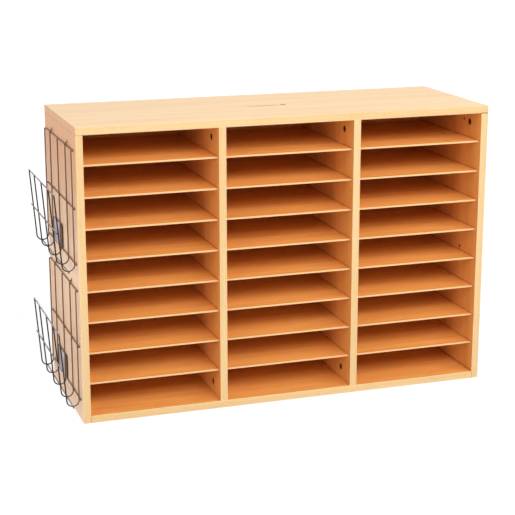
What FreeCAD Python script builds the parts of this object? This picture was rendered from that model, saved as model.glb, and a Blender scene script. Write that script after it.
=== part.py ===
import FreeCAD, Part
import os
from math import cos, radians, sin, tan

os.makedirs("parts", exist_ok=True)

# Envelope sorter: an open-fronted case of thin-shelved slots, with two wire racks
# hooked into holes in its left side. The right side has the same holes.
# Millimetres. X runs left to right along the front, Y from front to back, Z up.
# The origin is the middle of the case's underside.

# Case
case_width = 930.0
case_height = 636.0
case_depth = 332.0
board_thickness = 16.0
board_ease = 0.6  # chamfer along every edge of a board

# Slots
columns = ["left", "middle", "right"]
rows = 9
bottom_slot_extra = 2.9  # the lowest slot is this much taller than the others
shelf_thickness = 4.0
shelf_ease = 0.4
shelf_setback = 12.0  # from the case's front to a shelf's front edge
groove_depth = 4.0
groove_play = 0.2  # above a shelf in its groove
end_play = 0.3  # between a panel's edge and the end of its groove

# Back panel, in a groove all round
back_thickness = 4.0
back_inset = 8.0
back_groove_depth = 6.0

# Cam locks and dowels that join the boards
cam_diameter = 15.0
cam_hole_depth = 12.5
cam_recess = 0.5  # the cam's face below the board's face
cam_distance = 27.5  # from the joint to the cam's centre
cam_inset = 56.0  # from the front, and from the back panel
cam_slot_length = 9.0
cam_slot_width = 1.8
cam_slot_depth = 2.4
bolt_thread_diameter = 6.8
bolt_thread_length = 10.5
bolt_shank_diameter = 5.6
bolt_head_diameter = 6.6
bolt_head_length = 3.0
bolt_bore_play = 0.8
dowel_diameter = 8.0
dowel_length = 30.0
dowel_in_face = 11.0  # how much of a dowel is in the board whose face it enters
dowel_inset = 110.0  # from the front, and from the back panel
fitting_play = 0.2

# Wire racks
wire_diameter = 3.0
rack_board_gap = 0.3
rack_wire_spread = 290.0  # between the outer upright wires
rack_middle_gap = 83.0  # between the three middle upright wires
rail_overhang = 4.0  # a rail's end beyond the outer wires, except at the pocket's mouth
back_middle_rail_height = 131.0  # heights here are above the wires at the pocket's floor
pocket_front_height = 160.5
pocket_middle_rail_height = 83.0
pocket_floor_width = 25.5
pocket_lean = 4.5  # degrees that the pocket's front leans outwards
pocket_bend_radius = 12.5
racks_apart = 32.0
upper_rack_drop = 25.6  # from the top board's underside to the upper rack's top

# Hooks at the top of the second and fourth wire, through holes in the side board
hook_rise = 6.8  # above the top rail
hook_bend_radius = 4.0
hook_tip_radius = 2.0
hook_tip_gap = 0.6  # between the hook's tip and the board's inner face
hook_hole_diameter = 8.0
hook_seat_gap = 0.3
hook_lift_spare = 0.3  # left over the hook when it is lifted clear
hook_shelf_gap = 1.4  # between the lower rack's hook tips and the shelf under them

# Plate at the back of each pocket, between the board and two of the wires
plate_height = 52.0
plate_sheet = 1.0
plate_corner_radius = 6.0
plate_overhang = 8.0  # beyond the two wires that it spans

left = -case_width / 2
right = case_width / 2
front = -case_depth / 2
rear = case_depth / 2
floor_top = board_thickness
roof = case_height - board_thickness
back_front_face = rear - back_inset - back_thickness
shelf_front = front + shelf_setback
column_width = (case_width - (len(columns) + 1) * board_thickness) / len(columns)
shelf_stack = (rows - 1) * shelf_thickness + bottom_slot_extra
slot_height = (roof - floor_top - shelf_stack) / rows

along_x = FreeCAD.Vector(1, 0, 0)
along_y = FreeCAD.Vector(0, 1, 0)
along_z = FreeCAD.Vector(0, 0, 1)


def block(low, high):
    size = [top - bottom for bottom, top in zip(low, high)]
    return Part.makeBox(size[0], size[1], size[2], FreeCAD.Vector(*low))


def board(low, high, ease=board_ease):
    blank = block(low, high)
    return blank.makeChamfer(ease, blank.Edges)


def rod(start, direction, diameter, length):
    return Part.makeCylinder(diameter / 2, length, start, direction)


def save(name, pieces):
    shape = pieces[0] if len(pieces) == 1 else Part.makeCompound(pieces)
    shape.exportStep("parts/" + name + ".step")


# Slots and shelves

def column_left(index):
    return left + board_thickness + index * (column_width + board_thickness)


def shelf_underside(row):
    return roof - row * (slot_height + shelf_thickness)


def shelf_piece(column, row):
    reach = groove_depth - end_play
    low = [column_left(column) - reach, shelf_front, shelf_underside(row)]
    high = [
        column_left(column) + column_width + reach,
        back_front_face - end_play,
        shelf_underside(row) + shelf_thickness,
    ]
    return board(low, high, shelf_ease)


def shelf_grooves(wall_x, depth):
    """Stopped grooves for one column's shelves, cut from wall_x by a signed depth."""
    ends = sorted([wall_x, wall_x + depth])
    cuts = []
    for row in range(1, rows):
        low = [ends[0], shelf_front - end_play, shelf_underside(row)]
        high = [ends[1], back_front_face, shelf_underside(row) + shelf_thickness + groove_play]
        cuts.append(block(low, high))
    return cuts


def back_groove():
    """The ring of space that the back panel's edges slide into."""
    low = [left + board_thickness, back_front_face, floor_top]
    high = [right - board_thickness, back_front_face + back_thickness + groove_play, roof]
    grown_low = [low[0] - back_groove_depth, low[1], low[2] - back_groove_depth]
    grown_high = [high[0] + back_groove_depth, high[1], high[2] + back_groove_depth]
    return block(grown_low, grown_high)


def back_piece():
    reach = back_groove_depth - end_play
    low = [left + board_thickness - reach, back_front_face, floor_top - reach]
    high = [right - board_thickness + reach, back_front_face + back_thickness, roof + reach]
    return board(low, high, shelf_ease)


# Joints between boards. Each has its own axes: X runs from the joint into the board
# that holds the cam, and Z points out of the cam's mouth.

def placed(shape, origin, x_axis, z_axis):
    turn = FreeCAD.Rotation(x_axis, z_axis.cross(x_axis), z_axis, "ZXY")
    moved = shape.copy()
    moved.Placement = FreeCAD.Placement(origin, turn)
    return moved


def cam_piece():
    face = board_thickness / 2 - cam_recess
    seat = board_thickness / 2 - cam_hole_depth
    base = FreeCAD.Vector(cam_distance, 0, seat)
    body = rod(base, along_z, cam_diameter - fitting_play, face - seat)
    half_long = cam_slot_length / 2
    half_wide = cam_slot_width / 2
    slot_floor = face - cam_slot_depth
    slots = [
        block([cam_distance - a, -b, slot_floor], [cam_distance + a, b, face])
        for a, b in [(half_long, half_wide), (half_wide, half_long)]
    ]
    head_room = rod(FreeCAD.Vector(), along_x, bolt_head_diameter + fitting_play * 2, cam_distance)
    return body.cut(slots + [head_room])


def bolt_piece():
    shank_length = cam_distance - bolt_head_length
    thread = rod(FreeCAD.Vector(-bolt_thread_length, 0, 0), along_x, bolt_thread_diameter, bolt_thread_length)
    shank = rod(FreeCAD.Vector(), along_x, bolt_shank_diameter, shank_length)
    head = rod(FreeCAD.Vector(shank_length, 0, 0), along_x, bolt_head_diameter, bolt_head_length)
    return thread.fuse([shank, head]).removeSplitter()


def dowel_piece():
    return rod(FreeCAD.Vector(-dowel_in_face, 0, 0), along_x, dowel_diameter, dowel_length)


def cam_holes():
    mouth = FreeCAD.Vector(cam_distance, 0, board_thickness / 2)
    cam_hole = rod(mouth, -along_z, cam_diameter, cam_hole_depth)
    bolt_bore = rod(FreeCAD.Vector(), along_x, bolt_head_diameter + bolt_bore_play, cam_distance)
    return [cam_hole, bolt_bore]


def thread_hole():
    diameter = bolt_thread_diameter + fitting_play
    return rod(FreeCAD.Vector(), -along_x, diameter, bolt_thread_length + end_play)


def dowel_hole():
    start = FreeCAD.Vector(-dowel_in_face - end_play, 0, 0)
    return rod(start, along_x, dowel_diameter + fitting_play, dowel_length + 2 * end_play)


def board_joints():
    """(holder, mate, x, z, into the holder, out of the cam's mouth) for each joint."""
    half = board_thickness / 2
    uprights = [
        ("left_side", left + half, along_x),
        ("left_divider", column_left(1) - half, -along_x),
        ("right_divider", column_left(2) - half, -along_x),
        ("right_side", right - half, -along_x),
    ]
    joints = [(name, "top_board", x, roof, -along_z, mouth) for name, x, mouth in uprights]
    for name, x, mouth in uprights[1:3]:
        joints.append((name, "bottom_board", x, floor_top, along_z, mouth))
    joints.append(("bottom_board", "left_side", left + board_thickness, half, along_x, -along_z))
    joints.append(("bottom_board", "right_side", right - board_thickness, half, -along_x, -along_z))
    return joints


def join_boards(boards):
    """Cut the fittings' holes into the boards and return the fittings."""
    fittings = {"cam_locks": [], "cam_bolts": [], "dowels": []}
    for holder, mate, x, z, inward, mouth in board_joints():
        for y in [front + cam_inset, back_front_face - cam_inset]:
            spot = FreeCAD.Vector(x, y, z)
            boards[holder] = boards[holder].cut([placed(hole, spot, inward, mouth) for hole in cam_holes()])
            boards[mate] = boards[mate].cut(placed(thread_hole(), spot, inward, mouth))
            fittings["cam_locks"].append(placed(cam_piece(), spot, inward, mouth))
            fittings["cam_bolts"].append(placed(bolt_piece(), spot, inward, mouth))
        for y in [front + dowel_inset, back_front_face - dowel_inset]:
            spot = FreeCAD.Vector(x, y, z)
            hole = placed(dowel_hole(), spot, inward, mouth)
            boards[holder] = boards[holder].cut(hole)
            boards[mate] = boards[mate].cut(hole)
            fittings["dowels"].append(placed(dowel_piece(), spot, inward, mouth))
    return fittings


# Racks. Their own heights start at the underside of the pocket's floor rail, and
# distances outwards start at the side board's outer face.

floor_wire_height = wire_diameter * 1.5
back_rail_out = rack_board_gap + wire_diameter / 2
back_leg_out = back_rail_out + wire_diameter
hook_tip_drop = hook_hole_diameter - hook_seat_gap - hook_lift_spare - wire_diameter
hook_shelf_top = shelf_underside((rows + 1) // 2) + shelf_thickness
upper_rack_top = roof - upper_rack_drop
lower_rack_top = hook_shelf_top + hook_shelf_gap + hook_tip_drop + wire_diameter
rack_height = upper_rack_top - lower_rack_top - racks_apart
rack_bases = {"upper": upper_rack_top - rack_height, "lower": lower_rack_top - rack_height}
hook_height = rack_height - wire_diameter / 2
top_rail_height = hook_height - hook_rise
hook_hole_height = hook_height - wire_diameter / 2 - hook_seat_gap + hook_hole_diameter / 2
wire_places = [
    rack_wire_spread / 2,
    rack_middle_gap,
    0.0,
    -rack_middle_gap,
    -rack_wire_spread / 2,
]
lean_slope = tan(radians(pocket_lean))
rail_length = rack_wire_spread + 2 * rail_overhang


def hook_holes(wall_x):
    """Through holes for both racks' hooks in the side board that starts at wall_x."""
    cuts = []
    for base in rack_bases.values():
        for y in [wire_places[1], wire_places[3]]:
            start = FreeCAD.Vector(wall_x, y, base + hook_hole_height)
            cuts.append(rod(start, along_x, hook_hole_diameter, board_thickness))
    return cuts


def front_leg_out(height):
    return back_leg_out + pocket_floor_width + (height - floor_wire_height) * lean_slope


def bent_wire(corners, radii):
    """A round wire of straight runs joined by tangent arcs, one radius per inner corner."""
    edges = []
    start = corners[0]
    for before, corner, after, radius in zip(corners, corners[1:], corners[2:], radii):
        arriving = (corner - before).normalize()
        leaving = (after - corner).normalize()
        half_turn = arriving.getAngle(leaving) / 2
        reach = radius * tan(half_turn)
        inward = (leaving - arriving).normalize()
        arc_start = corner - arriving * reach
        arc_middle = corner + inward * (radius / cos(half_turn) - radius)
        arc_end = corner + leaving * reach
        edges.append(Part.LineSegment(start, arc_start).toShape())
        edges.append(Part.Arc(arc_start, arc_middle, arc_end).toShape())
        start = arc_end
    edges.append(Part.LineSegment(start, corners[-1]).toShape())
    section = Part.Wire(Part.makeCircle(wire_diameter / 2, corners[0], corners[1] - corners[0]))
    return Part.Wire(edges).makePipeShell([section], True, True)


def pocket_wire(base, y, hooked):
    """Front leg, pocket floor and back leg in one wire, with a hook at the top if hooked."""
    def at(out, height):
        return FreeCAD.Vector(left - out, y, base + height)

    front_top = floor_wire_height + pocket_front_height
    corners = [
        at(front_leg_out(front_top), front_top),
        at(front_leg_out(floor_wire_height), floor_wire_height),
        at(back_leg_out, floor_wire_height),
    ]
    radii = [pocket_bend_radius, pocket_bend_radius]
    if hooked:
        tip_in = board_thickness + hook_tip_gap + wire_diameter / 2
        tip_end = hook_height - wire_diameter / 2 - hook_tip_drop
        corners += [at(back_leg_out, hook_height), at(-tip_in, hook_height), at(-tip_in, tip_end)]
        radii += [hook_bend_radius, hook_tip_radius]
    else:
        corners.append(at(back_leg_out, top_rail_height + wire_diameter / 2))
    return bent_wire(corners, radii)


def rail(base, out, height):
    start = FreeCAD.Vector(left - out, -rail_length / 2, base + height)
    return rod(start, along_y, wire_diameter, rail_length)


def front_rail(base, height):
    """A rail that lies against the outside of the leaning front legs."""
    lean = radians(pocket_lean)
    out = front_leg_out(height) + wire_diameter * cos(lean)
    return rail(base, out, height - wire_diameter * sin(lean))


def mouth_rail(base):
    """A round-ended rail on the tops of the front legs."""
    lean = radians(pocket_lean)
    leg_top = floor_wire_height + pocket_front_height
    out = front_leg_out(leg_top) + wire_diameter / 2 * sin(lean)
    height = base + leg_top + wire_diameter / 2 * cos(lean)
    ends = [FreeCAD.Vector(left - out, y, height) for y in (wire_places[-1], wire_places[0])]
    bar = rod(ends[0], along_y, wire_diameter, rack_wire_spread)
    return bar.fuse([Part.makeSphere(wire_diameter / 2, end) for end in ends])


def rack_plate(base):
    """A flat plate behind the second and third wires, just over the low rail."""
    behind_wires = left - back_leg_out + wire_diameter / 2
    bottom = base + floor_wire_height + pocket_bend_radius + wire_diameter / 2
    low = [behind_wires, wire_places[2] - plate_overhang, bottom]
    high = [behind_wires + plate_sheet, wire_places[1] + plate_overhang, bottom + plate_height]
    sheet = block(low, high)
    corners = [edge for edge in sheet.Edges if edge.Length == min(e.Length for e in sheet.Edges)]
    return sheet.makeFillet(plate_corner_radius, corners)


def rack_pieces(name):
    base = rack_bases[name]
    pieces = {}
    for number, y in enumerate(wire_places, start=1):
        pieces["wire_" + str(number)] = pocket_wire(base, y, number in (2, 4))
    pieces["back_top_rail"] = rail(base, back_rail_out, top_rail_height)
    pieces["back_middle_rail"] = rail(base, back_rail_out, floor_wire_height + back_middle_rail_height)
    pieces["back_low_rail"] = rail(base, back_rail_out, floor_wire_height + pocket_bend_radius)
    pieces["floor_rail"] = rail(base, back_leg_out + pocket_floor_width / 2, wire_diameter / 2)
    pieces["front_middle_rail"] = front_rail(base, floor_wire_height + pocket_middle_rail_height)
    pieces["front_top_rail"] = mouth_rail(base)
    pieces["plate"] = rack_plate(base)
    return pieces


# The case's boards, before their joints are bored

def case_boards():
    inner_left = left + board_thickness
    inner_right = right - board_thickness
    boards = {
        "top_board": board([left, front, roof], [right, rear, case_height]),
        "bottom_board": board([inner_left, front, 0], [inner_right, rear, floor_top]),
        "left_side": board([left, front, 0], [inner_left, rear, roof]),
        "right_side": board([inner_right, front, 0], [right, rear, roof]),
    }
    for name in boards:
        boards[name] = boards[name].cut(back_groove())
    boards["left_side"] = boards["left_side"].cut(shelf_grooves(inner_left, -groove_depth) + hook_holes(left))
    boards["right_side"] = boards["right_side"].cut(
        shelf_grooves(inner_right, groove_depth) + hook_holes(inner_right)
    )
    for column, name in enumerate(["left_divider", "right_divider"], start=1):
        wall_right = column_left(column)
        wall_left = wall_right - board_thickness
        blank = board([wall_left, front, floor_top], [wall_right, back_front_face, roof])
        boards[name] = blank.cut(
            shelf_grooves(wall_left, groove_depth) + shelf_grooves(wall_right, -groove_depth)
        )
    return boards


boards = case_boards()
fittings = join_boards(boards)
for name, piece in boards.items():
    save(name, [piece])
for name, pieces in fittings.items():
    save(name, pieces)
save("back_panel", [back_piece()])
for index, column in enumerate(columns):
    for row in range(1, rows):
        save("shelf_" + column + "_" + str(row), [shelf_piece(index, row)])
for rack in rack_bases:
    for name, piece in rack_pieces(rack).items():
        save(rack + "_rack_" + name, [piece])
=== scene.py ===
from math import cos, pi, radians, sin

import bmesh
import bpy
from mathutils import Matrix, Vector


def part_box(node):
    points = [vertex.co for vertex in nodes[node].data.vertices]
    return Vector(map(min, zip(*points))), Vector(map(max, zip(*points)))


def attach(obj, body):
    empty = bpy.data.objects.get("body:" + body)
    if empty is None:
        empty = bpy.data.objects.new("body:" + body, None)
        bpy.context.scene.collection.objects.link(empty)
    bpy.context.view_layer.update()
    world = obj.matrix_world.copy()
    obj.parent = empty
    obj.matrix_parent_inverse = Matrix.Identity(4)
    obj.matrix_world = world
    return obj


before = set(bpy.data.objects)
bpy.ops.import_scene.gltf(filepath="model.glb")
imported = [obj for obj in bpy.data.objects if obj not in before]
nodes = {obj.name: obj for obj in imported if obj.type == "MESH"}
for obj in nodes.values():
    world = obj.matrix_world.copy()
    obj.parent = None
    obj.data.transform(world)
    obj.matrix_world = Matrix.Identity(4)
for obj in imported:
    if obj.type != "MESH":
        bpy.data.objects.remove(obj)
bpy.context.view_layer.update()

print("Frame loaded:", len(nodes), "nodes")


# Small helpers for the materials

def paint(red, green, blue):
    # a colour as picked on screen, 0 to 255, turned into the linear values that a shader takes;
    # one that multiplies another may go above 255, and lightens it
    channels = [value / 255 for value in (red, green, blue)]
    linear = [c / 12.92 if c <= 0.04045 else ((c + 0.055) / 1.055) ** 2.4 for c in channels]
    return linear + [1.0]


surfaceIor = 1.5
facing = 0.5  # a face looks along an axis if more than this of its normal does
facingFlat = 0.8  # the same, but leaves out the chamfers


def newMaterial(name, metallic=0.0, shine=0.5):
    material = bpy.data.materials.new(name)
    material.use_nodes = True
    shader = material.node_tree.nodes["Principled BSDF"]
    shader.inputs["IOR"].default_value = surfaceIor
    shader.inputs["Metallic"].default_value = metallic
    shader.inputs["Specular IOR Level"].default_value = shine
    return material


def addNode(material, kind, inputs, **settings):
    # an input is another node's output or a constant
    node = material.node_tree.nodes.new("ShaderNode" + kind)
    for setting, value in settings.items():
        setattr(node, setting, value)
    for socket, value in inputs.items():
        if isinstance(value, bpy.types.NodeSocket):
            material.node_tree.links.new(value, node.inputs[socket])
        else:
            node.inputs[socket].default_value = value
    return node


def finishShader(material, colour, roughness, height, bumpDepth):
    bump = addNode(material, "Bump", {"Height": height, "Distance": bumpDepth, "Strength": 1.0})
    shader = material.node_tree.nodes["Principled BSDF"]
    links = material.node_tree.links
    links.new(colour, shader.inputs["Base Color"])
    links.new(roughness, shader.inputs["Roughness"])
    links.new(bump.outputs["Normal"], shader.inputs["Normal"])


def objectPoint(material):
    return addNode(material, "TexCoord", {}).outputs["Object"]


def splitAxes(material, vector):
    return addNode(material, "SeparateXYZ", {"Vector": vector}).outputs


def faceDirection(material):
    return splitAxes(material, addNode(material, "NewGeometry", {}).outputs["Normal"])


def noise(material, point, size, detail, roughness):
    scale = [1 / edge for edge in size]
    cells = addNode(material, "Mapping", {"Vector": point, "Scale": scale}).outputs["Vector"]
    inputs = {"Vector": cells, "Scale": 1.0, "Detail": detail, "Roughness": roughness}
    return addNode(material, "TexNoise", inputs).outputs["Fac"]


def calc(material, operation, first, second=0.0):
    return addNode(material, "Math", {0: first, 1: second}, operation=operation).outputs["Value"]


def calcVector(material, operation, *values):
    return addNode(material, "VectorMath", dict(enumerate(values)), operation=operation).outputs


def times(material, first, *others):
    product = first
    for value in others:
        product = calc(material, "MULTIPLY", product, value)
    return product


def mixValues(material, first, second, share):
    # this share of the first value, and the rest of the second
    return calc(material, "ADD", times(material, first, share), times(material, second, 1 - share))


def fade(material, value, start, end, low=0.0, high=1.0):
    inputs = {"Value": value, "From Min": start, "From Max": end, "To Min": low, "To Max": high}
    return addNode(material, "MapRange", inputs, interpolation_type="SMOOTHSTEP").outputs["Result"]


def mixColours(material, factor, first, second, blend="MIX"):
    inputs = {0: factor, 6: first, 7: second}
    return addNode(material, "Mix", inputs, data_type="RGBA", blend_type=blend).outputs[2]


# Beech laminate, for the boards, the shelves and the back

# a pattern is the size of one cell in metres, then the detail and roughness of the noise;
# the laminate's cells have a length along the grain and a width across it
laminate = {
    "light": paint(252, 216, 164),
    "dark": paint(247, 205, 151),
    "pore": paint(196, 138, 88),
    "paintedInsideLight": (paint(237, 197, 146), paint(255, 226, 186)),  # painted light inside the case, warmer than outside: at the opening and lighter deep inside
    # where the painted light inside changes, from the front to the back
    "paintedInsideLightFade": (-0.146, -0.056),
    "paintedUpwardLight": paint(255, 214, 157),  # painted light on the shelves and the floor of the case
    "insideShade": paint(246, 241, 234),
    "insideStreak": ((0.30, 0.024), 3.0, 0.6),
    "insideLevels": (0.38, 0.66),
    "paintedOutsideLight": (paint(255, 250, 268), paint(226, 190, 164)),  # painted light: paler low down and darker at the top
    # where that painted light changes, by height
    "paintedOutsideLightFade": (0.36, 0.62),
    "edgeTint": paint(227, 227, 217),
    "bandSeam": paint(176, 134, 92),
    "bandThickness": 0.001,
    "seamWidth": 0.00018,
    "seamShare": 0.5,
    "figure": ((0.70, 0.030), 3.0, 0.55),
    "figureShare": 0.6,
    "figureLevels": (0.36, 0.64),
    "streak": ((0.26, 0.0055), 3.0, 0.6),
    "streakLevels": (0.3, 0.7),
    "pores": ((0.0065, 0.0008), 1.0, 0.5),
    "poreLevels": (0.62, 0.72),
    "poreShare": 0.3,
    "poreDepth": 0.00004,
    "roughness": (0.36, 0.45),
}

chipboard = {
    "light": paint(205, 164, 112),
    "dark": paint(126, 88, 54),
    "chips": ((0.0022, 0.0009, 0.0022), 3.0, 0.7),
    "chipLevels": (0.35, 0.65),
    "roughness": 0.85,
    "skin": 0.0008,  # what lies deeper than this in a board is bare core
}


def alongGrain(material, point, grain, pattern):
    (length, width), detail, roughness = pattern
    size = [length if axis == grain else width for axis in "xyz"]
    return noise(material, point, size, detail, roughness)


def beechFigure(material, point, grain):
    # returns the colour, the pores and the streaks of one grain direction
    figure = alongGrain(material, point, grain, laminate["figure"])
    streak = alongGrain(material, point, grain, laminate["streak"])
    tone = mixValues(material, figure, streak, laminate["figureShare"])
    tone = fade(material, tone, *laminate["figureLevels"])
    colour = mixColours(material, tone, laminate["light"], laminate["dark"])
    pores = alongGrain(material, point, grain, laminate["pores"])
    pores = fade(material, pores, *laminate["poreLevels"])
    poreShare = times(material, pores, laminate["poreShare"])
    colour = mixColours(material, poreShare, colour, laminate["pore"])
    return colour, pores, streak


def beechRoughness(material, streak, roughness):
    return fade(material, streak, *laminate["streakLevels"], *roughness)


def shadeStreaks(material, point, grain, colour):
    # broader and deeper streaks, for the faces inside
    streak = alongGrain(material, point, grain, laminate["insideStreak"])
    shade = fade(material, streak, *laminate["insideLevels"])
    return mixColours(material, shade, colour, laminate["insideShade"], "MULTIPLY")


def cornerDistance(material, point, low, high):
    # how far outside the middle part of a box the point lies, on each axis
    centre = (low + high) / 2
    half = (high - low) / 2
    offset = calcVector(material, "SUBTRACT", point, centre)["Vector"]
    away = calcVector(material, "ABSOLUTE", offset)["Vector"]
    return splitAxes(material, calcVector(material, "SUBTRACT", away, half)["Vector"])


def inBox(material, point, low, high):
    past = cornerDistance(material, point, low, high)
    worst = calc(material, "MAXIMUM", calc(material, "MAXIMUM", past["X"], past["Y"]), past["Z"])
    return calc(material, "LESS_THAN", worst, 0.0)


def chipboardCore(material, point):
    chips = noise(material, point, *chipboard["chips"])
    shade = fade(material, chips, *chipboard["chipLevels"])
    return mixColours(material, shade, chipboard["light"], chipboard["dark"])


# the room between the outer boards
interior = {
    "low": Vector((
        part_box("left_side")[1].x,
        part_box("left_side")[0].y + chipboard["skin"],
        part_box("bottom_board")[1].z,
    )),
    "high": Vector((
        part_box("right_side")[0].x,
        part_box("back_panel")[0].y,
        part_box("top_board")[0].z,
    )),
    "reach": 0.0003,
}


def insideTheCase(material, point):
    reach = Vector([interior["reach"]] * 3)
    return inBox(material, point, interior["low"] - reach, interior["high"] + reach)


def paintedInsideLight(material, point, place, direction, grain):
    # painted light: warmer inside, lighter deeper in, and its own tone on faces looking up
    depth = fade(material, place["Y"], *laminate["paintedInsideLightFade"])
    tint = mixColours(material, depth, *laminate["paintedInsideLight"])
    facingUp = calc(material, "GREATER_THAN", direction["Z"], facing)
    tint = mixColours(material, facingUp, tint, laminate["paintedUpwardLight"])
    return shadeStreaks(material, point, grain, tint)


def onOuterFaces(material, place):
    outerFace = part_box("right_side")[1].x - chipboard["skin"]
    return calc(material, "GREATER_THAN", calc(material, "ABSOLUTE", place["X"]), outerFace)


def paintedOutsideLight(material, place):
    # painted light on the outer faces: paler low down, darker at the top
    height = fade(material, place["Z"], *laminate["paintedOutsideLightFade"])
    return mixColours(material, height, *laminate["paintedOutsideLight"])


def bandedFaces(material, direction, banded):
    # the ends that an edge band covers, as a mask
    mask = 0.0
    for axis in banded:
        onEnd = calc(material, "GREATER_THAN", calc(material, "ABSOLUTE", direction[axis]), facingFlat)
        mask = calc(material, "MAXIMUM", onEnd, mask)
    return mask


def bandSeams(material, past, banded, colour):
    # thin lines beside the corners, where the edge bands stop
    for axis in banded:
        offSeam = calc(material, "ADD", past[axis], laminate["bandThickness"])
        offSeam = calc(material, "ABSOLUTE", offSeam)
        seam = fade(material, offSeam, 0.0, laminate["seamWidth"], laminate["seamShare"], 0.0)
        colour = mixColours(material, seam, colour, laminate["bandSeam"])
    return colour


# Dark lines where parts meet, painted shade in the hook holes, and a knot in the top board's face

joint = {
    "closed": paint(204, 164, 104),
    "open": paint(66, 36, 10),  # the top joint gapes a little towards the right
    "opening": (-0.20, 0.40),
    "upper": 0.3,
    "reach": 0.0008,  # to either side of where two boards touch
}

groove = {
    "colour": paint(146, 70, 24),
    "height": 0.0010,  # the line above a shelf, where it enters a board
}

hookHole = {
    # painted shade on the bare walls of the holes
    "colour": paint(80, 34, 14),
    "radius": 0.0041,
    "overHook": 0.0007,  # from the top of a hook up to the middle of its hole
    "hooks": "24",  # the numbers of the wires that end in hooks
}

knot = {
    "colour": paint(82, 50, 30),
    "centre": (0.0388, -0.0040),
    "half": (0.0085, 0.0080),
    "trailColour": paint(186, 144, 98),
    "trailCentre": (-0.010, -0.0070),
    "trailHalf": (0.052, 0.0085),
    "ripple": ((0.012, 0.0015, 0.0015), 3.0, 0.6),
    "rippleLevels": (0.3, 0.6),
    "core": 0.2,  # the colour is full where the squared distance is below this, and ends at 1
}

uprights = ["left_side", "left_divider", "right_divider", "right_side"]
racks = ["upper_rack", "lower_rack"]


def outerJoints(material, point):
    # where the top and bottom boards meet the sides
    reach = Vector([joint["reach"]] * 3)
    mask = 0.0
    for across in ["top_board", "bottom_board"]:
        for upright in ["left_side", "right_side"]:
            lows, highs = zip(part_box(across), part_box(upright))
            low = Vector([max(pair) for pair in zip(*lows)])
            high = Vector([min(pair) for pair in zip(*highs)])
            touching = inBox(material, point, low - reach, high + reach)
            mask = calc(material, "MAXIMUM", touching, mask)
    return mask


def jointColour(material, place, inside):
    gap = fade(material, place["X"], *joint["opening"])
    upper = calc(material, "GREATER_THAN", place["Z"], joint["upper"])
    colour = mixColours(material, times(material, gap, upper), joint["closed"], joint["open"])
    return mixColours(material, inside, colour, groove["colour"])


def grooveLines(material, place, direction):
    # the shelves are evenly spaced, so one repeating height gives every line
    first, second = [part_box("shelf_left_" + row)[1].z for row in "12"]
    above = calc(material, "SUBTRACT", place["Z"], second)
    turn = calc(material, "FRACT", calc(material, "DIVIDE", above, first - second))
    near = calc(material, "LESS_THAN", turn, groove["height"] / (first - second))
    upright = calc(material, "GREATER_THAN", calc(material, "ABSOLUTE", direction["X"]), facing)
    return times(material, near, upright)


def hookHoles(material, place):
    # the bare walls of the bored holes, on both sides, darkened with painted shade
    mask = 0.0
    for wire in [rack + "_wire_" + number for rack in racks for number in hookHole["hooks"]]:
        low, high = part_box(wire)
        across = calc(material, "SUBTRACT", place["Y"], (low.y + high.y) / 2)
        above = calc(material, "SUBTRACT", place["Z"], high.z + hookHole["overHook"])
        squares = [times(material, away, away) for away in (across, above)]
        near = calc(material, "LESS_THAN", calc(material, "ADD", *squares), hookHole["radius"] ** 2)
        mask = calc(material, "MAXIMUM", near, mask)
    return mask


def ovalSpot(material, place, centre, half):
    squares = []
    for axis, middle, reach in zip("XY", centre, half):
        away = calc(material, "DIVIDE", calc(material, "SUBTRACT", place[axis], middle), reach)
        squares.append(times(material, away, away))
    return fade(material, calc(material, "ADD", *squares), 1.0, knot["core"])


def addKnot(material, point, place, direction, colour):
    onTop = calc(material, "GREATER_THAN", direction["Z"], facing)
    ripple = fade(material, noise(material, point, *knot["ripple"]), *knot["rippleLevels"])
    trail = ovalSpot(material, place, knot["trailCentre"], knot["trailHalf"])
    trail = times(material, trail, onTop, ripple)
    colour = mixColours(material, trail, colour, knot["trailColour"])
    spot = times(material, ovalSpot(material, place, knot["centre"], knot["half"]), onTop)
    return mixColours(material, spot, colour, knot["colour"])


def tintBoard(material, node, grain, banded, colour):
    # painted light: warmer inside the case and lighter deep in, and by height on its outer faces;
    # greyer on the edge bands
    point = objectPoint(material)
    place = splitAxes(material, point)
    direction = faceDirection(material)
    facingDown = calc(material, "LESS_THAN", direction["Z"], -facing)
    tinted = calc(material, "SUBTRACT", insideTheCase(material, point), facingDown)
    tint = paintedInsideLight(material, point, place, direction, grain)
    colour = mixColours(material, tinted, colour, tint, "MULTIPLY")
    outside = onOuterFaces(material, place)
    colour = mixColours(material, outside, colour, paintedOutsideLight(material, place), "MULTIPLY")
    onBand = calc(material, "SUBTRACT", bandedFaces(material, direction, banded), outside)
    colour = mixColours(material, onBand, colour, laminate["edgeTint"], "MULTIPLY")
    return bandSeams(material, cornerDistance(material, point, *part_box(node)), banded, colour)


def markBoard(material, node, colour):
    # the lines where parts meet, painted shade in the bored holes, and the knot
    point = objectPoint(material)
    place = splitAxes(material, point)
    direction = faceDirection(material)
    inside = insideTheCase(material, point)
    if node in uprights:
        line = times(material, grooveLines(material, place, direction), inside)
        colour = mixColours(material, line, colour, groove["colour"])
    if node == "top_board":
        colour = addKnot(material, point, place, direction, colour)
    if node.endswith("side"):
        colour = mixColours(material, hookHoles(material, place), colour, hookHole["colour"])
    if not node.endswith("divider"):
        line = calc(material, "SUBTRACT", outerJoints(material, point), onOuterFaces(material, place))
        colour = mixColours(material, line, colour, jointColour(material, place, inside))
    return colour


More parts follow.
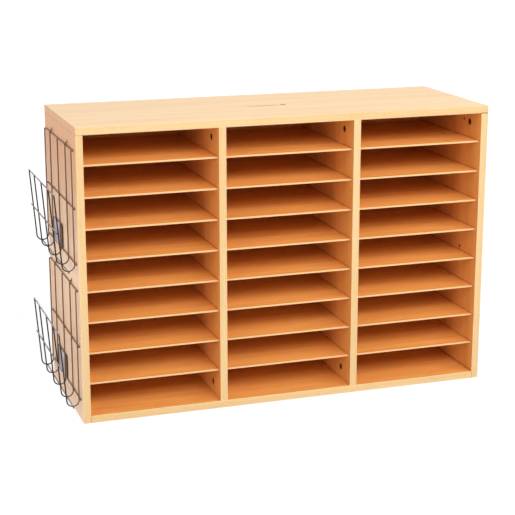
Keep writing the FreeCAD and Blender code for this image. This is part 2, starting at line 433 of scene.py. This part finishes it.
def boardMaterial(node, grain, banded):
    material = newMaterial("beech laminate of " + node.replace("_", " "))
    point = objectPoint(material)
    colour, pores, streak = beechFigure(material, point, grain)
    colour = tintBoard(material, node, grain, banded, colour)
    colour = markBoard(material, node, colour)
    low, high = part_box(node)
    skin = Vector([chipboard["skin"]] * 3)
    core = inBox(material, point, low + skin, high - skin)
    colour = mixColours(material, core, colour, chipboardCore(material, point))
    roughness = beechRoughness(material, streak, laminate["roughness"])
    roughness = calc(material, "MAXIMUM", roughness, times(material, core, chipboard["roughness"]))
    finishShader(material, colour, roughness, times(material, pores, -1.0), laminate["poreDepth"])
    return material


# each board's grain direction, and the axes along which its banded ends face
boards = {
    "top_board": ("x", "XY"),
    "bottom_board": ("x", "Y"),
    "left_side": ("z", "Y"),
    "right_side": ("z", "Y"),
    "left_divider": ("z", "Y"),
    "right_divider": ("z", "Y"),
}

shelf = {
    "edge": paint(232, 186, 132),
    "edgeDepth": 0.0005,
    "roughness": (0.38, 0.48),
}

backPanel = {
    "tint": paint(250, 212, 158),
    "roughness": (0.42, 0.50),
    "reverse": paint(168, 122, 78),
    "reverseDark": paint(132, 90, 54),
    "reverseRoughness": 0.8,
    "fibre": ((0.004, 0.004, 0.004), 4.0, 0.7),
    "fibreLevels": (0.3, 0.7),
    "mesh": 0.0016,
}


def shelfMaterial():
    material = newMaterial("beech laminate of the shelves")
    point = objectPoint(material)
    colour, pores, streak = beechFigure(material, point, "x")
    # the painted light of faces looking up, on all but the undersides, with grain streaks
    tinted = calc(material, "GREATER_THAN", faceDirection(material)["Z"], -facing)
    tint = shadeStreaks(material, point, "x", laminate["paintedUpwardLight"])
    colour = mixColours(material, tinted, colour, tint, "MULTIPLY")
    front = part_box("shelf_left_1")[0].y + shelf["edgeDepth"]
    onEdge = calc(material, "LESS_THAN", splitAxes(material, point)["Y"], front)
    colour = mixColours(material, onEdge, colour, shelf["edge"])
    roughness = beechRoughness(material, streak, shelf["roughness"])
    finishShader(material, colour, roughness, times(material, pores, -1.0), laminate["poreDepth"])
    return material


def meshPrint(material, point):
    # the screen's print on the reverse, as a height
    place = splitAxes(material, point)
    waves = [
        calc(material, "SINE", times(material, place[axis], 2 * pi / backPanel["mesh"]))
        for axis in "XZ"
    ]
    return times(material, *waves)


def backMaterial():
    material = newMaterial("beech faced hardboard")
    point = objectPoint(material)
    colour, pores, streak = beechFigure(material, point, "z")
    colour = mixColours(material, 1.0, colour, backPanel["tint"], "MULTIPLY")
    fibre = noise(material, point, *backPanel["fibre"])
    fibre = fade(material, fibre, *backPanel["fibreLevels"])
    reverse = mixColours(material, fibre, backPanel["reverse"], backPanel["reverseDark"])
    behind = calc(material, "GREATER_THAN", faceDirection(material)["Y"], facing)
    colour = mixColours(material, behind, colour, reverse)
    roughness = beechRoughness(material, streak, backPanel["roughness"])
    reverseRoughness = times(material, behind, backPanel["reverseRoughness"])
    roughness = calc(material, "MAXIMUM", roughness, reverseRoughness)
    height = calc(material, "SUBTRACT", times(material, meshPrint(material, point), behind), pores)
    finishShader(material, colour, roughness, height, laminate["poreDepth"])
    return material


# Metal and the dowels

metal = {
    "cloud": ((0.03, 0.03, 0.05), 3.0, 0.55),
    "speckDetail": (3.0, 0.6),  # the detail and roughness of the flecks
    "speckShare": 0.4,  # the rest is cloud
    "levels": (0.38, 0.62),
    "glossLevels": (0.35, 0.65),
    "glossSpread": (-0.05, 0.08),
    "grit": 0.00003,
    "paintedTopLight": (0.1, 0.8),  # how far up a face looks where the painted highlight on the upper side starts and is full
}

rackWire = {
    "coat": paint(54, 49, 52),
    "coatDark": paint(36, 32, 34),
    "speck": (0.0011, 0.0011, 0.0011),  # size of a fleck, in metres
    "metallic": 0.05,
    "shine": 0.12,
    "gloss": 0.40,
    "nearBoard": paint(130, 98, 78),  # warmed by the light off the board
    "warmth": (-0.478, -0.470),  # where that starts and is full
    "paintedTopLightColours": (paint(166, 157, 154), paint(162, 134, 114)),  # painted highlight on a rail's upper side, far from the board and near it
}

rackPlate = {
    "coat": paint(200, 186, 188),
    "coatDark": paint(152, 140, 141),
    # the cut edges: bare steel, darkened further with painted shade for the gap behind the plate
    "cutEdgeShade": paint(36, 24, 18),
    "speck": (0.0030, 0.0030, 0.06),
    "metallic": 0.5,
    "shine": 0.5,
    "gloss": 0.40,
}

camLock = {
    "coat": paint(86, 44, 22),
    "coatDark": paint(52, 24, 10),
    "speck": (0.0015, 0.0015, 0.0015),
    "metallic": 0.4,
    "shine": 0.5,
    "gloss": 0.50,
}

camBolt = {
    "coat": paint(190, 188, 182),
    "coatDark": paint(160, 157, 150),
    "speck": (0.0010, 0.0010, 0.0010),
    "metallic": 0.95,
    "shine": 0.5,
    "gloss": 0.30,
}


def paintLightOnWire(material, point, look, colour):
    # painted light: the board's warm light near it, and a painted highlight on the upper sides
    warmth = fade(material, splitAxes(material, point)["X"], *look["warmth"])
    colour = mixColours(material, warmth, colour, look["nearBoard"])
    upwards = fade(material, faceDirection(material)["Z"], *metal["paintedTopLight"])
    paintedTopLight = mixColours(material, warmth, *look["paintedTopLightColours"])
    return mixColours(material, upwards, colour, paintedTopLight)


def paintEdgeShade(material, look, colour):
    # the cut edges, bare steel darkened with painted shade
    across = calc(material, "ABSOLUTE", faceDirection(material)["X"])
    return mixColours(material, calc(material, "LESS_THAN", across, facing), colour, look["cutEdgeShade"])


def coatedMetal(name, look):
    material = newMaterial(name, look["metallic"], look["shine"])
    point = objectPoint(material)
    speck = noise(material, point, look["speck"], *metal["speckDetail"])
    cloud = noise(material, point, *metal["cloud"])
    tone = mixValues(material, speck, cloud, metal["speckShare"])
    shade = fade(material, tone, *metal["levels"])
    colour = mixColours(material, shade, look["coat"], look["coatDark"])
    # painted light on the wires, near the board and on their upper sides
    if "nearBoard" in look:
        colour = paintLightOnWire(material, point, look, colour)
    if "cutEdgeShade" in look:
        colour = paintEdgeShade(material, look, colour)
    roughness = [look["gloss"] + spread for spread in metal["glossSpread"]]
    roughness = fade(material, tone, *metal["glossLevels"], *roughness)
    finishShader(material, colour, roughness, speck, metal["grit"])
    return material


dowelWood = {
    "light": paint(214, 176, 128),
    "dark": paint(178, 136, 90),
    "streak": ((0.004, 0.0008, 0.004), 3.0, 0.6),
    "colourLevels": (0.35, 0.65),
    "roughness": (0.55, 0.70),
    "fluting": 0.00005,
}


def dowelMaterial():
    material = newMaterial("dowel wood")
    streak = noise(material, objectPoint(material), *dowelWood["streak"])
    tone = fade(material, streak, *dowelWood["colourLevels"])
    colour = mixColours(material, tone, dowelWood["light"], dowelWood["dark"])
    roughness = beechRoughness(material, streak, dowelWood["roughness"])
    finishShader(material, colour, roughness, streak, dowelWood["fluting"])
    return material


def dress(node, material):
    slots = nodes[node].data.materials
    if len(slots) == 0:
        slots.append(material)
    for index in range(len(slots)):
        slots[index] = material


for node, (grain, banded) in boards.items():
    dress(node, boardMaterial(node, grain, banded))
shelfLook = shelfMaterial()
wireLook = coatedMetal("gunmetal wire", rackWire)
plateLook = coatedMetal("grey rack plate", rackPlate)
for node in nodes:
    if node.startswith("shelf"):
        dress(node, shelfLook)
    elif node.endswith("rack_plate"):
        dress(node, plateLook)
    elif "_rack_" in node:
        dress(node, wireLook)
dress("back_panel", backMaterial())
dress("cam_locks", coatedMetal("dark cam metal", camLock))
dress("cam_bolts", coatedMetal("zinc bolt", camBolt))
dress("dowels", dowelMaterial())
print("Boards, shelves, racks and fittings have their finishes")


# Weld beads where the racks' wires cross their rails

weld = {
    "along": 0.0017,  # half sizes of a bead, beside the contact and across it
    "out": 0.0012,
    "rings": 6,
    "segments": 10,
    "squareness": 0.12,
    "wires": "12345",  # the numbers of the wires that cross the rails
}


def middle(node):
    low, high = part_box(node)
    return (low + high) / 2


def beadPoint(ring, segment, centre):
    # a flattened lump, a little squarer than an ellipsoid
    polar = pi * ring / weld["rings"]
    turn = 2 * pi * segment / weld["segments"]
    swell = 1 + weld["squareness"] * cos(4 * turn)
    return centre + Vector((
        weld["out"] * cos(polar),
        weld["along"] * sin(polar) * cos(turn) * swell,
        weld["along"] * sin(polar) * sin(turn) * swell,
    ))


def addBead(mesh, centre):
    tip = mesh.verts.new(beadPoint(0, 0, centre))
    rings = [
        [mesh.verts.new(beadPoint(ring, segment, centre)) for segment in range(weld["segments"])]
        for ring in range(1, weld["rings"])
    ]
    foot = mesh.verts.new(beadPoint(weld["rings"], 0, centre))
    for segment in range(weld["segments"]):
        following = (segment + 1) % weld["segments"]
        mesh.faces.new((tip, rings[0][segment], rings[0][following]))
        mesh.faces.new((foot, rings[-1][following], rings[-1][segment]))
        for inner, outer in zip(rings, rings[1:]):
            mesh.faces.new((inner[segment], outer[segment], outer[following], inner[following]))


def weldPlaces(rack):
    # halfway between the middles of the two wires that touch
    halfWire = (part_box(rack + "_floor_rail")[1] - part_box(rack + "_floor_rail")[0]).z / 2
    towardsWire = {
        "_back_top_rail": (-halfWire, 0),
        "_back_middle_rail": (-halfWire, 0),
        "_front_middle_rail": (halfWire, 0),
        "_front_top_rail": (0, -halfWire),
    }
    places = []
    for rail, (across, above) in towardsWire.items():
        railCentre = middle(rack + rail)
        for number in weld["wires"]:
            wireCentre = middle(rack + "_wire_" + number)
            places.append(Vector((railCentre.x + across, wireCentre.y, railCentre.z + above)))
    return places


def addWelds(rack):
    mesh = bmesh.new()
    for place in weldPlaces(rack):
        addBead(mesh, place)
    bmesh.ops.recalc_face_normals(mesh, faces=mesh.faces)
    for face in mesh.faces:
        face.smooth = True
    data = bpy.data.meshes.new(rack + "_welds")
    mesh.to_mesh(data)
    mesh.free()
    piece = bpy.data.objects.new(rack + "_welds", data)
    bpy.context.scene.collection.objects.link(piece)
    data.materials.append(wireLook)
    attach(piece, rack)


for rack in racks:
    addWelds(rack)
print("Weld beads are on both racks")


# Floor, lights and camera

studio = {
    "floorSize": 30.0,
    "floorPaint": (0.80, 0.80, 0.80, 1.0),
    "glow": 1.1,  # the strength of the plain white
    "glowShare": (0.85, 1.0),  # how much of the floor seen is plain white, near by and far away
    "nearAndFar": (0.9, 2.2),
    "ambient": 0.222,
    "aim": (0.0, 0.0, 0.3),
}

# place, size and power of each lamp
softboxes = {
    "key over the front": ((0.4, -3.6, 2.6), (2.2, 1.4), 108.0),
    "right of the front": ((2.8, -2.4, 2.6), (2.2, 1.4), 64.0),
    "left side": ((-3.0, -0.6, 0.9), (1.6, 1.6), 26.0),
    "left of the front": ((-3.0, -2.0, 1.6), (1.6, 1.6), 15.5),
    "above": ((0.2, 0.4, 2.8), (1.8, 1.2), 13.5),
    "low behind": ((0.5, 3.4, 0.42), (2.4, 0.36), 26.0),
}


def seenDirectly(material):
    # one for what the camera, a reflection or a clear material sees, and nothing for the light it gives
    path = addNode(material, "LightPath", {}).outputs
    both = calc(material, "MAXIMUM", path["Is Camera Ray"], path["Is Glossy Ray"])
    return calc(material, "MAXIMUM", both, path["Is Transmission Ray"])


def makeFloor():
    size = studio["floorSize"] / 2
    corners = [(-size, -size, 0), (size, -size, 0), (size, size, 0), (-size, size, 0)]
    data = bpy.data.meshes.new("floor")
    data.from_pydata(corners, [], [(0, 1, 2, 3)])
    floor = bpy.data.objects.new("floor", data)
    bpy.context.scene.collection.objects.link(floor)
    material = bpy.data.materials.new("white floor")
    material.use_nodes = True
    tree = material.node_tree
    tree.nodes.remove(tree.nodes["Principled BSDF"])
    paintedFloor = addNode(material, "BsdfDiffuse", {"Color": studio["floorPaint"]})
    glow = addNode(material, "Emission", {"Color": (1, 1, 1, 1), "Strength": studio["glow"]})
    away = calcVector(material, "LENGTH", objectPoint(material))["Value"]
    glowShare = fade(material, away, *studio["nearAndFar"], *studio["glowShare"])
    share = times(material, seenDirectly(material), glowShare)
    mixed = addNode(material, "MixShader", {0: share, 1: paintedFloor.outputs[0], 2: glow.outputs[0]})
    tree.links.new(mixed.outputs[0], tree.nodes["Material Output"].inputs["Surface"])
    data.materials.append(material)


def makeWorld():
    world = bpy.data.worlds.new("studio")
    bpy.context.scene.world = world
    world.use_nodes = True
    background = world.node_tree.nodes["Background"]
    background.inputs["Color"].default_value = (1, 1, 1, 1)
    strength = fade(world, seenDirectly(world), 0.0, 1.0, studio["ambient"], 1.0)
    world.node_tree.links.new(strength, background.inputs["Strength"])


def addSoftbox(name, place, size, power):
    data = bpy.data.lights.new(name, "AREA")
    data.shape = "RECTANGLE"
    data.size, data.size_y = size
    data.energy = power
    lamp = bpy.data.objects.new(name, data)
    lamp.location = place
    lamp.rotation_euler = (Vector(studio["aim"]) - Vector(place)).to_track_quat("-Z", "Y").to_euler()
    bpy.context.scene.collection.objects.link(lamp)


makeFloor()
makeWorld()
for name, (place, size, power) in softboxes.items():
    addSoftbox(name, place, size, power)

viewpoint = {
    "place": (-1.0264, -2.9747, 1.1123),
    "turn": 18.701,  # degrees from straight ahead, towards the right side
    "tilt": 14.715,  # degrees down
    "lens": 99.56,
}


def makeCamera():
    data = bpy.data.cameras.new("viewpoint")
    data.lens = viewpoint["lens"]
    camera = bpy.data.objects.new("viewpoint", data)
    camera.location = viewpoint["place"]
    camera.rotation_euler = (radians(90 - viewpoint["tilt"]), 0, -radians(viewpoint["turn"]))
    bpy.context.scene.collection.objects.link(camera)
    bpy.context.scene.camera = camera


makeCamera()
bpy.context.scene.view_settings.view_transform = "Standard"
print("Studio and camera are set")
